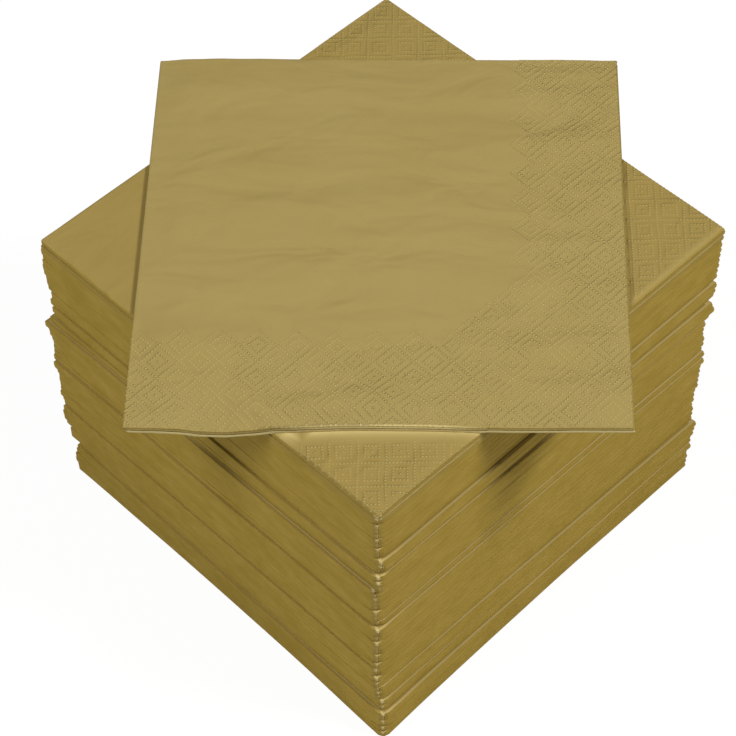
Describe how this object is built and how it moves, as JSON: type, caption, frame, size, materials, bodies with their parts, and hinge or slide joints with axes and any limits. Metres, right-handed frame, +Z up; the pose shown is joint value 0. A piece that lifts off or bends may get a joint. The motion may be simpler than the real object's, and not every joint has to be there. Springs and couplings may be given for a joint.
{
  "type": "stack of paper napkins",
  "caption": "Squared stack of quarter-folded gold paper napkins with embossed borders, with another napkin lying askew on top.",
  "frame": {"origin": "middle of the underside of the bottom napkin", "axes": "+Z up through the stack; X and Y along its sides, with the second fold on the -Y side, the first fold on the -X side and the open embossed sides at +X and +Y"},
  "size_m": [0.1793, 0.1794, 0.1064],
  "materials": {
    "tissue": "matt gold-dyed three-ply tissue, plain in the middle, with a dotted diamond emboss along the open sides"
  },
  "bodies": {
    "root": {"napkin_01": "tissue", "napkin_02": "tissue", "napkin_03": "tissue", "napkin_04": "tissue", "napkin_05": "tissue", "napkin_06": "tissue", "napkin_07": "tissue", "napkin_08": "tissue", "napkin_09": "tissue", "napkin_10": "tissue", "napkin_11": "tissue", "napkin_12": "tissue", "napkin_13": "tissue", "napkin_14": "tissue", "napkin_15": "tissue", "napkin_16": "tissue", "napkin_17": "tissue", "napkin_18": "tissue", "napkin_19": "tissue", "napkin_20": "tissue", "napkin_21": "tissue", "napkin_22": "tissue", "napkin_23": "tissue", "napkin_24": "tissue", "napkin_25": "tissue", "napkin_26": "tissue", "napkin_27": "tissue", "napkin_28": "tissue", "napkin_29": "tissue", "napkin_30": "tissue", "napkin_31": "tissue", "napkin_32": "tissue", "napkin_33": "tissue", "napkin_34": "tissue", "napkin_35": "tissue", "napkin_36": "tissue", "napkin_37": "tissue", "napkin_38": "tissue", "napkin_39": "tissue", "napkin_40": "tissue", "napkin_41": "tissue", "napkin_42": "tissue", "napkin_43": "tissue", "napkin_44": "tissue", "napkin_45": "tissue", "napkin_46": "tissue", "napkin_47": "tissue", "napkin_48": "tissue", "napkin_49": "tissue", "top_napkin": "tissue"}
  },
  "joints": []
}
